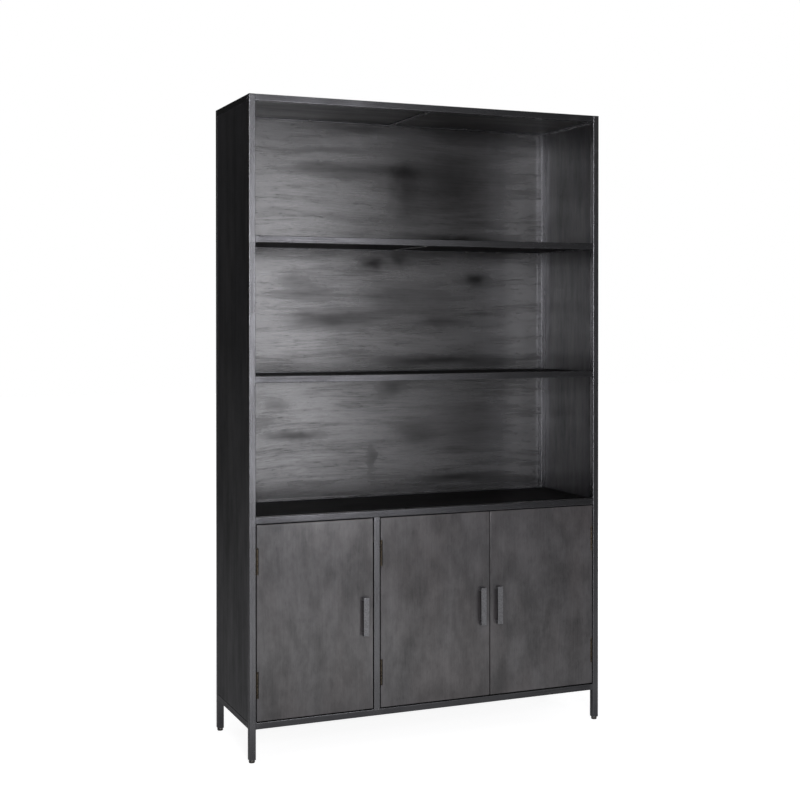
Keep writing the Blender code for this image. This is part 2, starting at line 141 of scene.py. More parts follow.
def add_piece(name, shell, finish, body="carcass", replaced=(), sharp=38):
    """A mesh object that rides on a body. Its wear goes into two attributes: one along the corners, which
    also carries a painted highlight there, and one where it was ground.
    """
    points, faces, edge_wear_and_highlight, ground = shell
    mesh = bpy.data.meshes.new(name)
    mesh.from_pydata(points.tolist(), [], faces)
    for label, values in (("edge_wear_and_highlight", edge_wear_and_highlight), ("ground", ground)):
        mesh.attributes.new(label, "FLOAT", "POINT").data.foreach_set("value", values.astype(np.float32))
    mesh.shade_smooth()
    mesh.set_sharp_from_angle(angle=radians(sharp))
    mesh.materials.append(finish)
    made = bpy.data.objects.new(name, mesh)
    bpy.context.scene.collection.objects.link(made)
    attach(made, body)
    if replaced:
        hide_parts(*replaced)
    return made


def tube_shell(axis, centre, low, high, marks=(), capped=False):
    """Hollow square tube: the ring carried out along the outside and back along the bore.

    Ground is the sum over marks (place, reach, strength) of strength times exp of minus the square of
    the distance along the tube over the reach. A capped tube is closed at its high end."""
    outer, edge_wear_and_highlight = rounded_ring(TUBE, TUBE, TUBE_ROUND)
    inner = rounded_ring(TUBE - 2 * TUBE_WALL, TUBE - 2 * TUBE_WALL, BORE_ROUND)[0]
    stations = np.linspace(low, high, max(2, int((high - low) / RING_PITCH)))
    if capped:
        turn = np.linspace(0, pi / 2, 5)
        stations = stations[stations < high - 2 * CAP_ROUND]
        drop = CAP_ROUND * (1 - np.sin(turn))
        caps = []
        for inset, down in zip(CAP_ROUND * (1 - np.cos(turn)), drop):
            smaller = rounded_ring(TUBE - 2 * inset, TUBE - 2 * inset, TUBE_ROUND)[0]
            caps.append(carried(smaller, [high - down], axis, centre))
        bore = carried(inner, [high - TUBE_WALL, low], axis, centre)
        rings = np.concatenate([bore, carried(outer, stations, axis, centre)] + caps)
        heights = np.concatenate([[high, high], stations, high - drop])
    else:
        bore = carried(inner, [high, low], axis, centre)
        rings = np.concatenate([carried(outer, stations, axis, centre), bore])
        heights = np.concatenate([stations, [high, low]])
    ground = sum(strength * np.exp(-(((heights - place) / reach) ** 2)) for place, reach, strength in marks)
    ground = np.repeat(ground * np.ones(len(heights)), len(edge_wear_and_highlight))
    return skin(rings, wrap=not capped) + (np.tile(edge_wear_and_highlight, len(heights)), ground)


def plugged(tree, made, inputs):
    """The node, with each input set to a value or linked to the output of another node."""
    for key, value in inputs.items():
        if isinstance(value, bpy.types.NodeSocket):
            tree.links.new(value, made.inputs[key])
        else:
            made.inputs[key].default_value = value
    return made


def shader_node(tree, kind, inputs=None, **settings):
    made = tree.nodes.new("ShaderNode" + kind)
    for key, value in settings.items():
        setattr(made, key, value)
    return plugged(tree, made, inputs or {})


def maths(tree, operation, first, second=0.0, clamp=False):
    made = shader_node(tree, "Math", {0: first, 1: second}, operation=operation, use_clamp=clamp)
    return made.outputs[0]


def between(tree, value, low, high, out_low=0.0, out_high=1.0):
    """The value's smooth step from low to high, from out_low to out_high."""
    sockets = {"Value": value, "From Min": low, "From Max": high, "To Min": out_low, "To Max": out_high}
    return shader_node(tree, "MapRange", sockets, interpolation_type="SMOOTHSTEP").outputs[0]


def noise(tree, vector, scale, detail=2.0, roughness=0.5, distortion=0.0):
    sockets = {"Vector": vector, "Scale": scale, "Detail": detail}
    sockets |= {"Roughness": roughness, "Distortion": distortion}
    return shader_node(tree, "TexNoise", sockets).outputs["Fac"]


def stretched(tree, vector, scale, place=(0, 0, 0), turn=(0, 0, 0)):
    sockets = {"Vector": vector, "Scale": scale, "Location": place, "Rotation": turn}
    return shader_node(tree, "Mapping", sockets).outputs[0]


def blended(tree, factor, first, second):
    """Colour mixed from first to second by the factor."""
    made = shader_node(tree, "Mix", {0: factor, 6: first, 7: second}, data_type="RGBA")
    return made.outputs[2]


def effect_group(name, inputs, outputs):
    """An empty node group with named sockets, and its input and output nodes."""
    tree = bpy.data.node_groups.new(name, "ShaderNodeTree")
    for label, kind in inputs:
        tree.interface.new_socket(label, in_out="INPUT", socket_type=kind)
    for label, kind in outputs:
        tree.interface.new_socket(label, in_out="OUTPUT", socket_type=kind)
    return tree, tree.nodes.new("NodeGroupInput"), tree.nodes.new("NodeGroupOutput")


def effect(tree, group, inputs):
    """One use of a node group, with its inputs as values or other nodes' outputs."""
    made = tree.nodes.new("ShaderNodeGroup")
    made.node_tree = group
    return plugged(tree, made, inputs)


# Rubbed metal: long fine scratches along Z, cloudy lacquer, and small dark spots of oxide.
tree, entry, leave = effect_group(
    "rubbed_metal",
    [("Vector", "NodeSocketVector")],
    [("Cloud", "NodeSocketFloat"), ("Scratch", "NodeSocketFloat"), ("Spot", "NodeSocketFloat")],
)
place = entry.outputs["Vector"]
cloud = noise(tree, stretched(tree, place, (1, 1, 0.35)), 26, 4, 0.6)
streak = noise(tree, stretched(tree, place, (1, 1, 0.025)), 170, 3, 0.6)
cloud = maths(tree, "ADD", maths(tree, "MULTIPLY", cloud, 0.55), maths(tree, "MULTIPLY", streak, 0.45))
scratch = noise(tree, stretched(tree, place, (1, 1, 0.03)), 900, 3, 0.6)
spot = between(tree, noise(tree, place, 210, 3, 0.65), 0.60, 0.72)
for label, value in (("Cloud", between(tree, cloud, 0.35, 0.65)), ("Scratch", scratch), ("Spot", spot)):
    tree.links.new(value, leave.inputs[label])
rubbed_metal = tree


def steel_finish(name, turn, dark=DARK_OXIDE, light=GUNMETAL):
    """Gunmetal steel rubbed along one way: turn brings that way to the Z of the scratches. Its corners are
    lightened towards rubbed steel, partly as real wear and partly as painted highlight.
    """
    made = bpy.data.materials.new(name)
    made.use_nodes = True
    tree = made.node_tree
    shader = tree.nodes["Principled BSDF"]
    place = shader_node(tree, "TexCoord").outputs["Object"]
    metal = effect(tree, rubbed_metal, {"Vector": stretched(tree, place, (1, 1, 1), turn=turn)})
    edge_wear_and_highlight = shader_node(tree, "Attribute", attribute_name="edge_wear_and_highlight").outputs["Fac"]
    ground = shader_node(tree, "Attribute", attribute_name="ground").outputs["Fac"]
    patchy = between(tree, noise(tree, place, 55, 3, 0.6), 0.35, 0.65)
    # Painted highlight: the corners are lightened towards rubbed steel, partly as real wear and partly for
    # the highlight that the light lays along them.
    worn_and_highlight = maths(tree, "MULTIPLY", edge_wear_and_highlight, maths(tree, "ADD", maths(tree, "MULTIPLY", patchy, 0.35), 0.2))
    swirl = between(tree, noise(tree, place, 420, 3, 0.7, 1.2), 0.35, 0.7)
    scuffed = maths(tree, "MULTIPLY", ground, maths(tree, "ADD", maths(tree, "MULTIPLY", swirl, 0.4), 0.30))
    bare_and_highlight = maths(tree, "ADD", worn_and_highlight, scuffed, clamp=True)
    tone = blended(tree, maths(tree, "MULTIPLY", metal.outputs["Cloud"], 0.5), light, dark)
    tone = blended(tree, maths(tree, "MULTIPLY", metal.outputs["Spot"], 0.5), tone, dark)
    tone = blended(tree, bare_and_highlight, tone, RUBBED_STEEL_AND_HIGHLIGHT)
    tree.links.new(tone, shader.inputs["Base Color"])
    shader.inputs["Metallic"].default_value = 1.0
    rough = maths(tree, "ADD", 0.21, maths(tree, "MULTIPLY", metal.outputs["Cloud"], 0.08))
    rough = maths(tree, "SUBTRACT", rough, maths(tree, "MULTIPLY", bare_and_highlight, 0.04))
    tree.links.new(rough, shader.inputs["Roughness"])
    height = maths(tree, "ADD", metal.outputs["Scratch"], maths(tree, "MULTIPLY", scuffed, swirl))
    bump = shader_node(tree, "Bump", {"Height": height, "Strength": 0.25, "Distance": 0.0002})
    tree.links.new(bump.outputs[0], shader.inputs["Normal"])
    return made


# The upright tubes take a lighter copy of the gunmetal: painted sheen, for the light that catches their
# faces.
UPRIGHT_SHEEN_DARK = (0.102, 0.101, 0.106, 1)
UPRIGHT_SHEEN_LIGHT = (0.185, 0.185, 0.193, 1)
STEEL_UP_SHEEN = steel_finish("gunmetal_upright_painted_sheen", (0, 0, 0), UPRIGHT_SHEEN_DARK, UPRIGHT_SHEEN_LIGHT)
STEEL_ACROSS = steel_finish("gunmetal_across", (0, radians(90), 0))
STEEL_DEEP = steel_finish("gunmetal_front_to_back", (radians(90), 0, 0))

for side in ("left", "right"):
    for face in ("front", "rear"):
        node = f"{face}_{side}_post"
        low, high = np.array(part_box(node))
        centre = (low + high) / 2 * (1, 1, 0)
        marks = [(level + TUBE / 2, GROUND_REACH, 0.8) for level in LEVELS]
        shell = tube_shell(2, centre, low[2], high[2], marks, capped=True)
        add_piece(f"{node}_tube", shell, STEEL_UP_SHEEN, replaced=[node])


# ---------------------------------------------------------------- level frames
# Each level is a front and a rear tube between the posts, with 20 x 3 mm flat bars welded from one to
# the other under the board: a brace in the middle and, where there is no side tube, a cleat at each end.

BAR_ROUND = 0.0005
SCUFFS = {
    "top_frame": [(-0.26, 0.045, 0.8), (0.51, 0.020, 0.8)],
    "upper_shelf_frame": [(-0.35, 0.04, 0.2)],
    "deck_frame": [(-0.40, 0.05, 0.3)],
    "lower_shelf_frame": [],
    "bottom_frame": [(-0.2, 0.03, 0.3)],
}
BAR_DEPTH = 0.020
BAR_THICK = 0.003
BAR_SINK = 0.0008
BOARD_REVEAL = 0.004
CLEAT_X = 0.5694


def bar_places(node):
    """Where the flat bars of a level stand along it."""
    return [0.0] if node in ("bottom_frame", "top_frame") else [-CLEAT_X, 0.0, CLEAT_X]


def bar_shell(axis, centre, width, depth, low, high, end_round=0.0):
    """Solid flat bar: a small rounded ring carried along an axis, ground near both welded ends.

    At a rounded end the ring stands end_round times (1 - sin t) in from the end, and is smaller all
    round by end_round times (1 - cos t), over a quarter turn."""
    corner = min(BAR_ROUND, 0.3 * min(width, depth))
    stations = np.linspace(low + end_round, high - end_round, 40)
    inset = np.zeros(40)
    if end_round:
        t = np.linspace(0, pi / 2, 5)[1:]
        rise, shrink = end_round * np.sin(t), end_round * (1 - np.cos(t))
        stations = np.concatenate([(stations[0] - rise)[::-1], stations, stations[-1] + rise])
        inset = np.concatenate([shrink[::-1], inset, shrink])
    ring, edge_wear_and_highlight = rounded_ring(width, depth, corner, steps=3, shoulder=0.4 * corner)
    rings = carried(ring, stations, axis, (0, 0, 0))
    across = [(axis + 1) % 3, (axis + 2) % 3]
    rings[:, :, across] *= 1 - 2 * inset[:, None, None] / (width, depth)
    ground = np.exp(-(((stations - low) / 0.006) ** 2)) + np.exp(-(((stations - high) / 0.006) ** 2))
    return skin(rings + centre) + (np.tile(edge_wear_and_highlight, len(stations)), np.repeat(ground, len(edge_wear_and_highlight)))


def level_shells(node):
    low, high = np.array(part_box(node))
    middle = low[2] + TUBE / 2
    ends = [(low[0] - FIT, GROUND_REACH, 0.9), (high[0] + FIT, GROUND_REACH, 0.9)]
    shells = []
    for y, marks in ((low[1] + TUBE / 2, ends + SCUFFS[node]), (high[1] - TUBE / 2, ends)):
        shells.append(tube_shell(0, (0, y, middle), low[0] - FIT, high[0] + FIT, marks))
    return shells


for node in SCUFFS:
    add_piece(f"{node}_tubes", joined(level_shells(node)), STEEL_ACROSS, replaced=[node])
    low, high = np.array(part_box(node))
    bar_z = low[2] + BOARD_REVEAL - FIT - BAR_THICK / 2
    span = (low[1] + TUBE - BAR_SINK, high[1] - TUBE + BAR_SINK)
    bars = [bar_shell(1, (x, 0, bar_z), BAR_THICK, BAR_DEPTH, *span) for x in bar_places(node)]
    add_piece(f"{node}_bars", joined(bars), STEEL_DEEP)


# ---------------------------------------------------------------- side tubes and mullion
# Short tubes close the frame at its top and bottom on each side, and one upright stands between the
# first and the second door. They are the same stock as the posts.

for side in ("left", "right"):
    for level in ("bottom", "top"):
        node = f"{level}_{side}_rail"
        low, high = np.array(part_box(node))
        centre = (low + high) / 2 * (1, 0, 1)
        marks = [(low[1], GROUND_REACH, 0.8), (high[1], GROUND_REACH, 0.8)]
        shell = tube_shell(1, centre, low[1] - FIT, high[1] + FIT, marks)
        add_piece(f"{node}_tube", shell, STEEL_DEEP, replaced=[node])

low, high = np.array(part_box("mullion_post"))
marks = [(low[2], GROUND_REACH, 0.8), (high[2], GROUND_REACH, 0.8)]
shell = tube_shell(2, (low + high) / 2 * (1, 1, 0), low[2] - FIT, high[2] + FIT, marks)
add_piece("mullion_tube", shell, STEEL_UP_SHEEN, replaced=["mullion_post"])


# ---------------------------------------------------------------- welds
# Every tube end is welded all round. The beads are ground flush where a board or a face comes against
# them and on the front, and keep their ripples on the upper and lower sides.

BEAD = 0.0011
RIPPLE = 0.0021
TACK_HEIGHTS = (1.934, 1.859, 1.756, 1.655, 1.452, 1.330, 1.220, 1.100, 1.007, 0.876, 0.790)


def even_ring(ring, count):
    """The ring again with count points an even distance apart, with the distance of each."""
    closed = np.vstack([ring, ring[:1]])
    length = np.concatenate([[0], np.cumsum(np.linalg.norm(np.diff(closed, axis=0), axis=1))])
    at = np.linspace(0, length[-1], count, endpoint=False)
    return np.stack([np.interp(at, length, closed[:, k]) for k in (0, 1)], axis=-1), at


def end_weld(axis, centre, station, flush):
    """A bead round the end of a tube: circles about the points of its outline.

    The radius is BEAD times (1 + sin(2 pi distance / RIPPLE) / 8), and falls to a ninth of that where
    the outline faces one of the flush directions, each a pair in the ring's own plane."""
    ring, distance = even_ring(rounded_ring(TUBE, TUBE, TUBE_ROUND)[0], 144)
    tangent = np.roll(ring, -1, axis=0) - np.roll(ring, 1, axis=0)
    tangent /= np.linalg.norm(tangent, axis=1, keepdims=True)
    outward = np.stack([tangent[:, 1], -tangent[:, 0]], axis=-1)
    radius = BEAD * (1 + np.sin(2 * pi * distance / RIPPLE) / 8)
    for direction in flush:
        radius = radius * (1 - 8 / 9 * np.clip(outward @ np.array(direction, float), 0, 1) ** 0.5)
    t = np.linspace(0, 2 * pi, 10, endpoint=False)
    rings = np.zeros((len(ring), len(t), 3))
    rings[:, :, :2] = ring[:, None] + (radius[:, None] * np.sin(t))[:, :, None] * outward[:, None]
    rings[:, :, 2] = station + radius[:, None] * np.cos(t)
    points, faces = skin(np.roll(rings, axis + 1, axis=-1) + centre, wrap=True)
    return points, faces, np.zeros(len(points)), np.full(len(points), 0.7)


def straight_weld(start, end, size):
    """A short bead from start to end along one axis: circles whose radius is size times the root of
    (1 - |2 s - 1| to the sixth), s running from 0 to 1 along it, with the same ripples."""
    start, end = np.array(start, float), np.array(end, float)
    axis = int(np.argmax(np.abs(end - start)))
    length = end[axis] - start[axis]
    s = np.linspace(0.01, 0.99, max(12, int(length / 0.0007)))
    radius = size * np.sqrt(1 - np.abs(2 * s - 1) ** 6) * (1 + np.sin(2 * pi * s * length / RIPPLE) / 8)
    t = np.linspace(0, 2 * pi, 10, endpoint=False)
    rings = np.zeros((len(s), len(t), 3))
    rings[:, :, 0] = radius[:, None] * np.cos(t)
    rings[:, :, 1] = radius[:, None] * np.sin(t)
    rings[:, :, 2] = (s * length)[:, None]
    points, faces = skin(np.roll(rings, axis + 1, axis=-1) + start)
    return points, faces, np.zeros(len(points)), np.full(len(points), 0.7)


def turned_shell(profile, centre, axis, sign, steps=24, worn_and_highlight=0.0):
    """A surface of revolution through (radius, height) points, about an axis line through centre.

    Sign -1 turns it half round, so that its height runs down the axis."""
    profile = np.array(profile, float)
    t = np.linspace(0, 2 * pi, steps, endpoint=False)
    rings = np.zeros((len(profile), steps, 3))
    rings[:, :, 0] = profile[:, :1] * np.cos(t)
    rings[:, :, 1] = profile[:, :1] * np.sin(t) * sign
    rings[:, :, 2] = profile[:, 1:] * sign
    points, faces = skin(np.roll(rings, axis + 1, axis=-1) + np.array(centre, float))
    return points, faces, np.full(len(points), worn_and_highlight), np.full(len(points), worn_and_highlight)


welds = []
for node in SCUFFS:
    low, high = np.array(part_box(node))
    top = [(0, 1)] if node == "top_frame" else []
    for y in (low[1] + TUBE / 2, high[1] - TUBE / 2):
        for x in (low[0] - FIT, high[0] + FIT):
            welds.append(end_weld(0, (0, y, low[2] + TUBE / 2), x, [(-1, 0), (1, 0)] + top))
    for x in bar_places(node):
        under = low[2] + BOARD_REVEAL - FIT - BAR_THICK
        for y in (low[1] + TUBE, high[1] - TUBE):
            welds.append(straight_weld((x - 0.009, y, under), (x + 0.009, y, under), 0.0012))
for side in ("left", "right"):
    for level in ("bottom", "top"):
        low, high = np.array(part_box(f"{level}_{side}_rail"))
        centre = (low + high) / 2 * (1, 0, 1)
        flush = [(0, 1), (0, -1)] + ([(1, 0)] if level == "top" else [])
        for y in (low[1], high[1]):
            welds.append(end_weld(1, centre, y, flush))
low, high = np.array(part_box("mullion_post"))
for z in (low[2], high[2]):
    welds.append(end_weld(2, (low + high) / 2 * (1, 1, 0), z, [(0, -1), (0, 1)]))
for side, sign in (("left", 1), ("right", -1)):
    low, high = np.array(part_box(f"rear_{side}_post"))
    face_x = high[0] if side == "left" else low[0]
    dab = ((0.0026, -0.0004), (0.0025, 0.0003), (0.0018, 0.0008), (0.0008, 0.0011), (0.0002, 0.00115))
    for height in TACK_HEIGHTS:
        welds.append(turned_shell(dab, (face_x, high[1] - 0.0065, height), 0, sign, steps=14, worn_and_highlight=0.8))
add_piece("frame_welds", joined(welds), STEEL_ACROSS)


# ---------------------------------------------------------------- tabs and screws under the boards
# Small tabs on the front and rear tubes, with the flat bars, hold the boards from below. One zinc plated
# pan head screw goes up through each tab, and two through each bar.

TAB = (0.018, 0.015, 0.002)
TAB_X = (-0.29, 0.28)
TAB_BEAD = 0.008
SCREW_RADIUS = 0.0036
ZINC_LIGHT = (0.34, 0.33, 0.31, 1)
ZINC_DARK = (0.13, 0.125, 0.12, 1)


def screw_shell(centre, axis, sign, radius=SCREW_RADIUS, height=0.0016, recess=0.0009, steps=32):
    """A pan head with a cross recess: height times the root of 1 - (r / radius) to the fourth, less the
    recess where the point lies within a narrow arm of the cross."""
    share = np.array([1.0, 1.0, 0.97, 0.88, 0.74, 0.6, 0.52, 0.44, 0.34, 0.24, 0.14, 0.05])
    t = np.linspace(0, 2 * pi, steps, endpoint=False)
    across, up = share[:, None] * np.cos(t), share[:, None] * np.sin(t)
    dome = height * np.sqrt(np.clip(1 - share**4, 0, 1))[:, None] + 0 * t
    arm = (np.minimum(np.abs(across), np.abs(up)) < 0.13) & (share[:, None] < 0.56)
    dome = dome - recess * arm
    dome[0] = -0.0004
    rings = np.stack([radius * across, radius * up * sign, dome * sign], axis=-1)
    points, faces = skin(np.roll(rings, axis + 1, axis=-1) + np.array(centre, float))
    return points, faces, np.zeros(len(points)), np.zeros(len(points))


def plated_finish(name, light, dark, rough):
    """Plated or aged metal that has dulled in patches."""
    made = bpy.data.materials.new(name)
    made.use_nodes = True
    tree = made.node_tree
    shader = tree.nodes["Principled BSDF"]
    place = shader_node(tree, "TexCoord").outputs["Object"]
    metal = effect(tree, rubbed_metal, {"Vector": place})
    dull = between(tree, noise(tree, place, 260, 4, 0.65), 0.42, 0.62)
    tree.links.new(blended(tree, dull, light, dark), shader.inputs["Base Color"])
    roughness = maths(tree, "ADD", rough, maths(tree, "MULTIPLY", dull, 0.2))
    tree.links.new(roughness, shader.inputs["Roughness"])
    height = maths(tree, "SUBTRACT", metal.outputs["Scratch"], metal.outputs["Spot"])
    bump = shader_node(tree, "Bump", {"Height": height, "Strength": 0.3, "Distance": 0.0001})
    tree.links.new(bump.outputs[0], shader.inputs["Normal"])
    shader.inputs["Metallic"].default_value = 1.0
    return made


ZINC = plated_finish("zinc_plate", ZINC_LIGHT, ZINC_DARK, 0.32)
tabs, screws = [], []
for node in SCUFFS:
    low, high = np.array(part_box(node))
    under = low[2] + BOARD_REVEAL - FIT
    for x in TAB_X:
        for face_y, inward in ((low[1] + TUBE, 1), (high[1] - TUBE, -1)):
            y = face_y + inward * TAB[1] / 2
            middle = (x, 0, under - TAB[2] / 2)
            tabs.append(bar_shell(1, middle, TAB[2], TAB[0], y - TAB[1] / 2, y + TAB[1] / 2))
            screws.append(screw_shell((x, y + inward * 0.002, under - TAB[2]), 2, -1))
            bead_y = face_y + inward * 0.0004
            ends = [(x + reach, bead_y, under - TAB[2]) for reach in (-TAB_BEAD, TAB_BEAD)]
            tabs.append(straight_weld(*ends, 0.001))
    for x in bar_places(node):
        for y in (low[1] + TUBE + 0.040, high[1] - TUBE - 0.055):
            screws.append(screw_shell((x, y, under - BAR_THICK), 2, -1))
add_piece("board_tabs", joined(tabs), STEEL_DEEP)
add_piece("board_screws", joined(screws), ZINC)


# ---------------------------------------------------------------- side panels
# One thin sheet of stained veneer on each side, let in between the posts. Its grain runs upright, and
# it is lacquered over the stain.

BOARD_DARK = (0.0092, 0.0092, 0.0102, 1)
BOARD_LIGHT = (0.030, 0.0295, 0.0335, 1)
WARM_DARK = (0.014, 0.0115, 0.0115, 1)
WARM_LIGHT = (0.066, 0.055, 0.054, 1)

# Stained wood: slow clouds of the stain, long smears, small mottles, growth rings as level lines of a
# stretched noise, fibres and open pores. The grain runs along Z.
tree, entry, leave = effect_group(
    "stained_wood",
    [("Vector", "NodeSocketVector")],
    [(label, "NodeSocketFloat") for label in ("Cloud", "Smear", "Mottle", "Figure", "Fibre", "Pore")],
)
place = entry.outputs["Vector"]
wander = noise(tree, stretched(tree, place, (1, 1, 0.4)), 2.4, 2, 0.5)
shift = shader_node(tree, "CombineXYZ", {"X": maths(tree, "MULTIPLY", wander, 0.10)}).outputs[0]
bent = shader_node(tree, "VectorMath", {0: place, 1: shift}, operation="ADD").outputs[0]
cloud = noise(tree, stretched(tree, bent, (1, 1, 0.45)), 5.5, 4, 0.6)
smear = noise(tree, stretched(tree, bent, (1, 1, 0.11)), 26, 5, 0.62)
mottle = noise(tree, stretched(tree, bent, (1, 1, 0.55)), 17, 7, 0.66)
rings = maths(tree, "MULTIPLY", noise(tree, stretched(tree, bent, (1, 1, 0.16)), 3.6, 2, 0.45), 95.0)
rings = maths(tree, "MULTIPLY", maths(tree, "ADD", maths(tree, "SINE", rings), 1.0), 0.5)
fibre = noise(tree, stretched(tree, bent, (1, 1, 0.035)), 190, 5, 0.7)
pore = between(tree, noise(tree, stretched(tree, bent, (1, 1, 0.06)), 620, 2, 0.5), 0.60, 0.70)
for label, value in (
    ("Cloud", between(tree, cloud, 0.30, 0.70)),
    ("Smear", between(tree, smear, 0.32, 0.68)),
    ("Mottle", between(tree, mottle, 0.30, 0.70)),
    ("Figure", rings),
    ("Fibre", between(tree, fibre, 0.25, 0.75)),
    ("Pore", pore),
):
    tree.links.new(value, leave.inputs[label])
stained_wood = tree


# A soft patch, used for the stains on the back and for the floor's painted pool of light: strength times
# exp of minus the square of the distance from a centre, counted in reaches.
tree, entry, leave = effect_group(
    "soft_stain_and_glow",
    [
        ("Vector", "NodeSocketVector"),
        ("Centre", "NodeSocketVector"),
        ("Reach", "NodeSocketVector"),
        ("Strength", "NodeSocketFloat"),
    ],
    [("Mask", "NodeSocketFloat")],
)
given = entry.outputs
apart = {0: given["Vector"], 1: given["Centre"]}
offset = shader_node(tree, "VectorMath", apart, operation="SUBTRACT").outputs[0]
counted = shader_node(tree, "VectorMath", {0: offset, 1: given["Reach"]}, operation="DIVIDE").outputs[0]
square = shader_node(tree, "VectorMath", {0: counted, 1: counted}, operation="DOT_PRODUCT")
falling = maths(tree, "EXPONENT", maths(tree, "MULTIPLY", square.outputs["Value"], -1.0))
tree.links.new(maths(tree, "MULTIPLY", falling, entry.outputs["Strength"]), leave.inputs["Mask"])
soft_stain_and_glow = tree


STAIN_JITTER = (0.07, 0.0, 0.022)


def stain_mask(tree, place, stains):
    """The stains together, each (x, z, reach in x, reach in z, strength), with ragged outlines."""
    rough = shader_node(tree, "TexNoise", {"Vector": place, "Scale": 30.0, "Detail": 4.0}).outputs["Color"]
    centred = shader_node(tree, "VectorMath", {0: rough, 1: (0.5, 0.5, 0.5)}, operation="SUBTRACT")
    ragged = {0: centred.outputs[0], 1: STAIN_JITTER}
    jitter = shader_node(tree, "VectorMath", ragged, operation="MULTIPLY").outputs[0]
    moved = shader_node(tree, "VectorMath", {0: place, 1: jitter}, operation="ADD").outputs[0]
    whole = None
    for x, z, reach_x, reach_z, strength in stains:
        sockets = {"Vector": moved, "Centre": (x, 0, z), "Reach": (reach_x, 1000.0, reach_z)}
        sockets["Strength"] = strength
        mask = effect(tree, soft_stain_and_glow, sockets).outputs["Mask"]
        whole = mask if whole is None else maths(tree, "ADD", whole, mask)
    return maths(tree, "MINIMUM", whole, 1.0)


def wood_finish(
    name,
    turn,
    dark,
    light,
    weights,
    rough,
    coat=(0.5, 1.0),
    coat_rough=0.20,
    shift=0.0,
    coat_ior=1.9,
    specular=0.15,
    warmth=0.1,
    stains=(),
):
    """Stained and lacquered wood. Turn brings the grain to the Z of the figure.

    The tone is the weighted sum of cloud, smear, mottle, figure and fibre. It runs the colour from dark
    to light, and the weight of the lacquer between the two values of coat."""
    made = bpy.data.materials.new(name)
    made.use_nodes = True
    tree = made.node_tree
    shader = tree.nodes["Principled BSDF"]
    place = shader_node(tree, "TexCoord").outputs["Object"]
    turned = stretched(tree, place, (1, 1, 1), place=(shift, shift, 0), turn=turn)
    wood = effect(tree, stained_wood, {"Vector": turned})
    tone = 0.0
    for label, weight in zip(("Cloud", "Smear", "Mottle", "Figure", "Fibre"), weights):
        tone = maths(tree, "ADD", maths(tree, "MULTIPLY", wood.outputs[label], weight), tone)
    tone = maths(tree, "SUBTRACT", tone, maths(tree, "MULTIPLY", wood.outputs["Pore"], 0.25), clamp=True)
    drift = noise(tree, stretched(tree, turned, (1, 1, 0.4), place=(5, 0, 0)), 7, 3, 0.6)
    warm = maths(tree, "MULTIPLY", between(tree, drift, 0.4, 0.65), warmth)
    colour = blended(tree, tone, dark, light)
    colour = blended(tree, warm, colour, blended(tree, tone, WARM_DARK, WARM_LIGHT))
    roughness = maths(tree, "SUBTRACT", rough, maths(tree, "MULTIPLY", tone, 0.08))
    gloss = maths(tree, "ADD", coat[0], maths(tree, "MULTIPLY", tone, coat[1] - coat[0]), clamp=True)
    if stains:
        stained = stain_mask(tree, place, stains)
        colour = blended(tree, stained, colour, (0.006, 0.006, 0.006, 1))
        gloss = maths(tree, "MULTIPLY", gloss, maths(tree, "SUBTRACT", 1.0, stained))
    tree.links.new(colour, shader.inputs["Base Color"])
    tree.links.new(roughness, shader.inputs["Roughness"])
    tree.links.new(gloss, shader.inputs["Coat Weight"])
    height = maths(tree, "SUBTRACT", wood.outputs["Fibre"], wood.outputs["Pore"])
    bump = shader_node(tree, "Bump", {"Height": height, "Strength": 0.2, "Distance": 0.0001})
    tree.links.new(bump.outputs[0], shader.inputs["Normal"])
    tree.links.new(bump.outputs[0], shader.inputs["Coat Normal"])
    shader.inputs["Coat Roughness"].default_value = coat_rough
    shader.inputs["Coat IOR"].default_value = coat_ior
    shader.inputs["Specular IOR Level"].default_value = specular
    return made


def finish_nodes(finish, *nodes):
    for node in nodes:
        mesh = cad[node].data
        mesh.materials.clear()
        mesh.materials.append(finish)


PANEL_WOOD = wood_finish(
    "panel_wood",
    (0, 0, 0),
    BOARD_DARK,
    BOARD_LIGHT,
    (0.35, 0.3, 0.15, 0.05, 0.15),
    0.40,
    (0.2, 0.75),
    coat_rough=0.28,
    specular=0.08,
)
finish_nodes(PANEL_WOOD, "left_panel", "right_panel")


# ---------------------------------------------------------------- back sheet
# One sheet of veneered board behind the frame, with the grain lying across. The stain took unevenly.

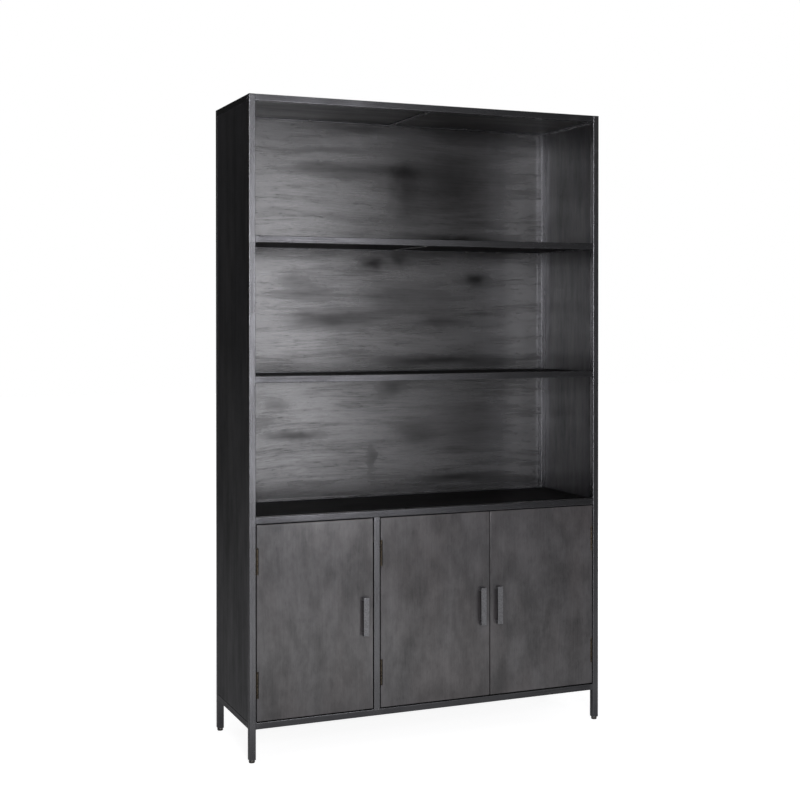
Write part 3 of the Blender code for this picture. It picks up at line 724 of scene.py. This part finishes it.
BACK_DARK = (0.008, 0.0075, 0.0075, 1)
BACK_LIGHT = (0.048, 0.0475, 0.051, 1)
BACK_STAINS = [
    (-0.13, 1.965, 0.15, 0.018, 0.50),
    (-0.10, 1.830, 0.20, 0.026, 0.60),
    (-0.20, 1.893, 0.15, 0.012, 0.40),
    (0.24, 1.800, 0.18, 0.150, 0.78),
    (0.06, 1.770, 0.06, 0.130, 0.45),
    (0.25, 1.600, 0.17, 0.022, 0.85),
    (0.29, 1.975, 0.18, 0.030, 0.45),
    (-0.055, 1.516, 0.046, 0.024, 0.90),
    (0.04, 1.530, 0.030, 0.026, 0.70),
    (0.33, 1.466, 0.048, 0.020, 0.90),
    (-0.22, 1.325, 0.140, 0.028, 0.72),
    (-0.30, 1.410, 0.100, 0.030, 0.35),
    (0.00, 1.400, 0.110, 0.060, 0.40),
    (-0.35, 1.462, 0.045, 0.018, 0.45),
    (0.19, 1.317, 0.110, 0.016, 0.55),
    (0.20, 1.186, 0.22, 0.016, 0.80),
    (0.29, 1.560, 0.20, 0.016, 0.60),
    (0.16, 1.395, 0.12, 0.060, 0.30),
    (-0.334, 0.942, 0.110, 0.016, 0.75),
    (-0.40, 1.046, 0.045, 0.022, 0.45),
    (0.01, 1.095, 0.050, 0.026, 0.60),
    (-0.06, 0.857, 0.016, 0.045, 0.50),
    (0.10, 0.938, 0.070, 0.040, 0.45),
    (0.30, 0.953, 0.15, 0.110, 0.45),
    (0.25, 0.780, 0.16, 0.016, 0.60),
]
BACK_WOOD = wood_finish(
    "back_wood",
    (0, radians(90), 0),
    BACK_DARK,
    BACK_LIGHT,
    (0.25, 0.35, 0.1, 0.0, 0.35),
    0.34,
    (0.30, 1.45),
    coat_rough=0.25,
    coat_ior=2.15,
    stains=BACK_STAINS,
)
finish_nodes(BACK_WOOD, "back_sheet")


# ---------------------------------------------------------------- boards
# Bottom, deck, two shelves and top, 12 mm solid boards let into the level frames on their bars.

SHELF_DARK = (0.003, 0.003, 0.003, 1)
SHELF_LIGHT = (0.011, 0.0105, 0.011, 1)
BOARD_WOOD = wood_finish(
    "board_wood",
    (0, radians(90), 0),
    SHELF_DARK,
    SHELF_LIGHT,
    (0.3, 0.2, 0.2, 0.1, 0.2),
    0.6,
    (0.0, 0.04),
    specular=0.03,
)
finish_nodes(BOARD_WOOD, "deck_board", "lower_shelf_board", "upper_shelf_board")
SATIN_LIGHT = (0.040, 0.0375, 0.0365, 1)
SATIN_WOOD = wood_finish(
    "satin_board_wood",
    (0, radians(90), 0),
    BOARD_DARK,
    SATIN_LIGHT,
    (0.3, 0.3, 0.15, 0.05, 0.2),
    0.42,
    (0.15, 0.65),
    coat_rough=0.28,
    shift=1.3,
)
finish_nodes(SATIN_WOOD, "bottom_board", "top_board")


# ---------------------------------------------------------------- cupboard inside
# Liners on the side panels and a partition behind the mullion carry two loose shelves. Each shelf lies on
# four turned steel pegs with a collar, which push into rows of holes.

PEG_IN = 0.006
PEG_PROFILE = (
    (0.0016, -0.0060),
    (0.0025, -0.0054),
    (0.0025, 0.0003),
    (0.0041, 0.0003),
    (0.0042, 0.0005),
    (0.0042, 0.0013),
    (0.0040, 0.0015),
    (0.0025, 0.0015),
    (0.0025, 0.0082),
    (0.0020, 0.0088),
    (0.0008, 0.0090),
)

finish_nodes(PANEL_WOOD, "left_cupboard_liner", "right_cupboard_liner", "cupboard_partition")
finish_nodes(SATIN_WOOD, "left_inner_shelf", "right_inner_shelf")
peg_nodes = [node for node in cad if "_shelf_peg_" in node]
pegs = []
for node in peg_nodes:
    low, high = np.array(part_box(node))
    out = 1 if node.endswith("_left") else -1
    face_x = low[0] + PEG_IN if out > 0 else high[0] - PEG_IN
    pegs.append(turned_shell(PEG_PROFILE, (face_x, *(low + high)[1:] / 2), 0, out))
add_piece("shelf_pegs", joined(pegs), ZINC, replaced=peg_nodes)


# ---------------------------------------------------------------- back sheet screws
# The back sheet is screwed to the rear tubes and posts from behind.

LEVEL_SCREWS = 6
LOW_SCREW_RISE = 0.003
POST_SCREW_HEIGHTS = (0.30, 0.52, 0.93, 1.35, 1.77)
low, high = np.array(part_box("back_sheet"))
post_x = high[0] - 0.010
heights = [level + TUBE / 2 for level in LEVELS]
heights[0] += LOW_SCREW_RISE
places = [(x, height) for height in heights for x in np.linspace(-post_x, post_x, LEVEL_SCREWS)]
places += [(x, height) for height in POST_SCREW_HEIGHTS for x in (-post_x, post_x)]
screws = [screw_shell((x, high[1], z), 1, 1, steps=24) for x, z in places]
add_piece("back_screws", joined(screws), ZINC)


# ---------------------------------------------------------------- hinges
# Six butt hinges of aged brass, two to a door. Each leaf is let into the gap beside the door and held
# by three flat head screws, which lie all but flush with it.

HINGE_LEAF = 0.0011
LEAF_SCREW_RADIUS = 0.0024
LEAF_SCREW_PROUD = 0.00006
LEAF_SCREW_BACK = 0.0052
LEAF_SCREW_SHARES = (0.16, 0.5, 0.84)
DOORS = {"left_door": 1, "centre_door": 1, "right_door": -1}

BRASS = plated_finish("aged_brass", (0.115, 0.094, 0.066, 1), (0.026, 0.023, 0.021, 1), 0.38)
finish_nodes(BRASS, *[node for node in cad if node.endswith("_leaf")])
frame_screws = []
door_screws = {door: [] for door in DOORS}
for door, side in DOORS.items():
    for level in ("lower", "upper"):
        low, high = np.array(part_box(f"{door}_{level}_hinge_frame_leaf"))
        frame_x = low[0] + HINGE_LEAF if side > 0 else high[0] - HINGE_LEAF
        near, far = np.array(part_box(f"{door}_{level}_hinge_door_leaf"))
        door_x = near[0] if side > 0 else far[0]
        for share in LEAF_SCREW_SHARES:
            y, z = high[1] - LEAF_SCREW_BACK, low[2] + share * (high[2] - low[2])
            head = {"radius": LEAF_SCREW_RADIUS, "height": LEAF_SCREW_PROUD, "recess": 2 * LEAF_SCREW_PROUD}
            frame_screws.append(screw_shell((frame_x, y, z), 0, side, **head))
            door_screws[door].append(screw_shell((door_x, y, z), 0, -side, **head))
add_piece("hinge_frame_screws", joined(frame_screws), BRASS)
for door, shells in door_screws.items():
    add_piece(f"{door}_hinge_screws", joined(shells), BRASS, door)


# ---------------------------------------------------------------- doors
# Three slab doors of stained hardwood, 18 mm thick, with the grain upright under a thin lacquer.

DOOR_DARK = (0.019, 0.0184, 0.0188, 1)
DOOR_LIGHT = (0.080, 0.075, 0.078, 1)
for number, door in enumerate(DOORS):
    finish = wood_finish(
        f"{door}_wood",
        (0, 0, 0),
        DOOR_DARK,
        DOOR_LIGHT,
        (0.35, 0.05, 0.45, 0.0, 0.15),
        0.40,
        (0.55, 1.15),
        shift=3.7 * number,
        warmth=0.45,
    )
    finish_nodes(finish, door)


# ---------------------------------------------------------------- handles
# Flat 18 x 4 mm steel strip on two short square legs, brushed brighter than the frame. A screw goes
# through the door from behind into each leg.

HANDLE_THICK = 0.004
HANDLE_LEG = 0.011
HANDLE_ROUND = 0.0007
LEG_INSET = 0.0004
LEG_SINK = 0.0005
STRIP_LIGHT = (0.225, 0.225, 0.232, 1)
STRIP_DARK = (0.165, 0.165, 0.171, 1)


def handle_shell(low, high):
    """The strip carried upwards, and a leg carried back from behind each end of it."""
    x = (low[0] + high[0]) / 2
    width = high[0] - low[0]
    middle = (x, low[1] + HANDLE_THICK / 2, 0)
    strip = bar_shell(2, middle, width, HANDLE_THICK, low[2], high[2], HANDLE_ROUND)
    shells = [strip]
    for z in (low[2] + HANDLE_LEG / 2, high[2] - HANDLE_LEG / 2):
        start = low[1] + HANDLE_THICK - LEG_SINK
        leg = bar_shell(1, (x, 0, z), HANDLE_LEG - LEG_INSET, width - LEG_INSET, start, high[1])
        shells.append(leg)
    return joined(shells)


BRUSHED_STRIP = plated_finish("brushed_strip", STRIP_LIGHT, STRIP_DARK, 0.36)
for door in DOORS:
    handle = f"{door}_handle"
    low, high = np.array(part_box(handle))
    shell = handle_shell(low, high)
    add_piece(f"{handle}_strip", shell, BRUSHED_STRIP, door, replaced=[handle])
    back_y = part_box(door)[1][1]
    x = (low[0] + high[0]) / 2
    places = [(x, back_y, z) for z in (low[2] + HANDLE_LEG / 2, high[2] - HANDLE_LEG / 2)]
    screws = [screw_shell(place, 1, 1, height=0.0018) for place in places]
    add_piece(f"{door}_handle_screws", joined(screws), ZINC, door)


# ---------------------------------------------------------------- catches and strike plates
# A magnetic catch of brown moulded plastic hangs under the deck behind each door, with two steel pole
# plates. It holds a thin plated strike plate that is screwed to the door.

STRIKE = (0.034, 0.0011, 0.0195)
STRIKE_BELOW_TOP = 0.0005
STRIKE_SCREW_DROP = 0.014
STRIKE_SCREW_X = 0.011
POLE_LENGTH = 0.030
POLE_THICK = 0.0016
CATCH_SCREW_X = 0.0145
BROWN_DARK = (0.040, 0.022, 0.014, 1)
BROWN_LIGHT = (0.062, 0.036, 0.024, 1)

PLASTIC = bpy.data.materials.new("brown_plastic")
PLASTIC.use_nodes = True
tree = PLASTIC.node_tree
shader = tree.nodes["Principled BSDF"]
place = shader_node(tree, "TexCoord").outputs["Object"]
flow = between(tree, noise(tree, place, 90, 3, 0.6), 0.35, 0.65)
grain = noise(tree, place, 2400, 2, 0.5)
tree.links.new(blended(tree, flow, BROWN_DARK, BROWN_LIGHT), shader.inputs["Base Color"])
tree.links.new(maths(tree, "ADD", 0.36, maths(tree, "MULTIPLY", grain, 0.2)), shader.inputs["Roughness"])
bump = shader_node(tree, "Bump", {"Height": grain, "Strength": 0.3, "Distance": 0.00005})
tree.links.new(bump.outputs[0], shader.inputs["Normal"])

for door in DOORS:
    catch = f"{door}_catch"
    low, high = np.array(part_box(catch))
    x, y = (low + high)[:2] / 2
    finish_nodes(PLASTIC, catch)
    poles = []
    for z in (low[2] + 0.0022, low[2] + 0.0048):
        centre = (0, low[1] + 0.0010, z)
        poles.append(bar_shell(0, centre, 0.0021, POLE_THICK, x - POLE_LENGTH / 2, x + POLE_LENGTH / 2))
    add_piece(f"{catch}_poles", joined(poles), ZINC)
    screws = [screw_shell((x + side * CATCH_SCREW_X, y, low[2]), 2, -1, 0.0026, 0.0011) for side in (-1, 1)]
    add_piece(f"{catch}_screws", joined(screws), ZINC)
    back_y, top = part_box(door)[1][1:]
    width, thick, tall = STRIKE
    middle = (x, back_y + thick / 2, 0)
    foot = top - STRIKE_BELOW_TOP - tall
    plate = bar_shell(2, middle, width, thick, foot, foot + tall, 0.0004)
    places = [(x + side * STRIKE_SCREW_X, back_y + thick, top - STRIKE_SCREW_DROP) for side in (-1, 1)]
    heads = [screw_shell(place, 1, 1, 0.0024, 0.0009, 0.0005) for place in places]
    add_piece(f"{door}_strike_plate", joined([plate] + heads), ZINC, door)


# ---------------------------------------------------------------- glides
# A turned steel glide with a shallow groove is pressed into the foot of each leg and bears on the floor.

GLIDE_PROFILE = (
    (0.0078, 0.0000),
    (0.0084, 0.0003),
    (0.0089, 0.0010),
    (0.0092, 0.0020),
    (0.0092, 0.0060),
    (0.0088, 0.0064),
    (0.0088, 0.0070),
    (0.0092, 0.0074),
    (0.0092, 0.0086),
    (0.0089, 0.0090),
    (0.0075, 0.0090),
    (0.0075, 0.0232),
    (0.0068, 0.0240),
)
GLIDE_STEEL = plated_finish("worn_glide", (0.20, 0.19, 0.175, 1), (0.07, 0.062, 0.055, 1), 0.35)
for node in [node for node in cad if node.endswith("_glide")]:
    low, high = np.array(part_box(node))
    centre = (low + high) / 2 * (1, 1, 0)
    shell = turned_shell(GLIDE_PROFILE, centre, 2, 1, steps=48)
    add_piece(f"{node}_foot", shell, GLIDE_STEEL, replaced=[node])


# ---------------------------------------------------------------- floor, studio and camera
# The bookcase stands on a pale studio floor under rectangular softboxes. A painted pool of light glows on
# the floor in front of it and lights the doors from below.

scene = bpy.context.scene
scene.view_settings.view_transform = "Standard"
scene.view_settings.look = "None"

world = bpy.data.worlds.new("studio")
scene.world = world
world.use_nodes = True
tree = world.node_tree
tree.nodes.clear()
ray = shader_node(tree, "LightPath").outputs["Is Camera Ray"]
shown = shader_node(tree, "Background", {"Color": (1, 1, 1, 1), "Strength": 1.0}).outputs[0]
aim = shader_node(tree, "SeparateXYZ", {0: shader_node(tree, "TexCoord").outputs["Generated"]}).outputs
to_front = between(tree, aim["Y"], 0.2, -0.2)
to_left = between(tree, aim["X"], 0.5, 0.25, 0.25, 1.0)
ahead = maths(tree, "MULTIPLY", to_front, to_left)
glow = maths(tree, "ADD", maths(tree, "MULTIPLY", ahead, 0.26), 0.03)
given = shader_node(tree, "Background", {"Color": (1, 1, 1, 1), "Strength": glow}).outputs[0]
mixed = shader_node(tree, "MixShader", {0: ray, 1: given, 2: shown}).outputs[0]
shader_node(tree, "OutputWorld", {"Surface": mixed})

FLOOR_SIZE = 40.0
POOL_CENTRE = (-0.03, -1.55, 0)
POOL_REACH = (1.05, 1.05, 1000.0)
POOL_GLOW = 0.58
floor_mesh = bpy.data.meshes.new("floor")
half = FLOOR_SIZE / 2
corners = [(-half, -half, 0), (half, -half, 0), (half, half, 0), (-half, half, 0)]
floor_mesh.from_pydata(corners, [], [(0, 1, 2, 3)])
floor = bpy.data.objects.new("floor", floor_mesh)
scene.collection.objects.link(floor)
material = bpy.data.materials.new("floor")
material.use_nodes = True
floor_mesh.materials.append(material)
tree = material.node_tree
tree.nodes.clear()
place = shader_node(tree, "TexCoord").outputs["Object"]
ray = shader_node(tree, "LightPath").outputs["Is Camera Ray"]
reach = shader_node(tree, "VectorMath", {0: place}, operation="LENGTH").outputs["Value"]
far = between(tree, reach, 0.8, 2.0)
shown = maths(tree, "MULTIPLY", ray, maths(tree, "ADD", maths(tree, "MULTIPLY", far, 0.12), 0.88))
pool_sockets = {"Vector": place, "Centre": POOL_CENTRE, "Reach": POOL_REACH, "Strength": POOL_GLOW}
pool = effect(tree, soft_stain_and_glow, pool_sockets)
glow = maths(tree, "MAXIMUM", shown, pool.outputs["Mask"])
lit = shader_node(tree, "BsdfDiffuse", {"Color": (0.45, 0.45, 0.45, 1)}).outputs[0]
shone = shader_node(tree, "Emission", {"Color": (1, 1, 1, 1), "Strength": glow}).outputs[0]
both = shader_node(tree, "AddShader", {0: lit, 1: shone}).outputs[0]
shader_node(tree, "OutputMaterial", {"Surface": both})


def softbox(name, place, target, width, height, radiance):
    """A rectangular light of even radiance, which faces its target."""
    light = bpy.data.lights.new(name, "AREA")
    light.shape = "RECTANGLE"
    light.size = width
    light.size_y = height
    light.energy = radiance * pi * width * height
    light.color = (0.965, 0.960, 1.0)
    made = bpy.data.objects.new(name, light)
    scene.collection.objects.link(made)
    place, target = np.array(place, float), np.array(target, float)
    away = place - target
    made.location = place
    made.rotation_euler = (
        pi / 2 - np.arctan2(away[2], np.hypot(away[0], away[1])),
        0,
        np.arctan2(away[0], -away[1]),
    )
    made.visible_camera = False
    return made


RIG_RADIUS = 5.0
# Softboxes stand on a circle about the bookcase: bearing to the right of its front, width of arc, low
# and high edge, radiance.
SOFTBOXES = {
    "camera_side": (-16.5, 11, 1.1, 2.9, 16.0),
    "camera_low": (-16.5, 11, 0.05, 1.1, 10.8),
    "key_high": (12, 6, 2.3, 3.8, 1.5),
    "key": (12.5, 6, 1.1, 2.3, 5.6),
    "key_low": (13, 6, 0.05, 1.1, 4.4),
    "key_side": (18, 4, 0.05, 1.1, 1.3),
    "left_wing": (-62, 16, 0.8, 3.0, 1.3),
    "right_wing": (75, 16, 0.8, 3.0, 2.2),
    "rear_right": (140, 26, 0.8, 3.2, 2.4),
}
for name, (bearing, arc, low_edge, high_edge, radiance) in SOFTBOXES.items():
    turn = radians(bearing)
    height = (low_edge + high_edge) / 2
    place = (RIG_RADIUS * sin(turn), 0.2 - RIG_RADIUS * cos(turn), height)
    width = 2 * RIG_RADIUS * np.tan(radians(arc / 2))
    softbox(name, place, (0, 0.2, height), width, high_edge - low_edge, radiance)

# One more hangs above and behind, for the upper face of the top.
softbox("overhead", (0, 1.0, 4.4), (0, 0.2, 2.0), 2.4, 1.2, 1.6)

lens = bpy.data.cameras.new("camera")
lens.lens = 62.19
lens.sensor_width = 36
lens.shift_y = -0.085
camera = bpy.data.objects.new("camera", lens)
scene.collection.objects.link(camera)
camera.location = (-1.7759, -4.149, 1.3266)
camera.rotation_euler = (radians(90 - 0.514), 0, radians(-22.738))
scene.camera = camera
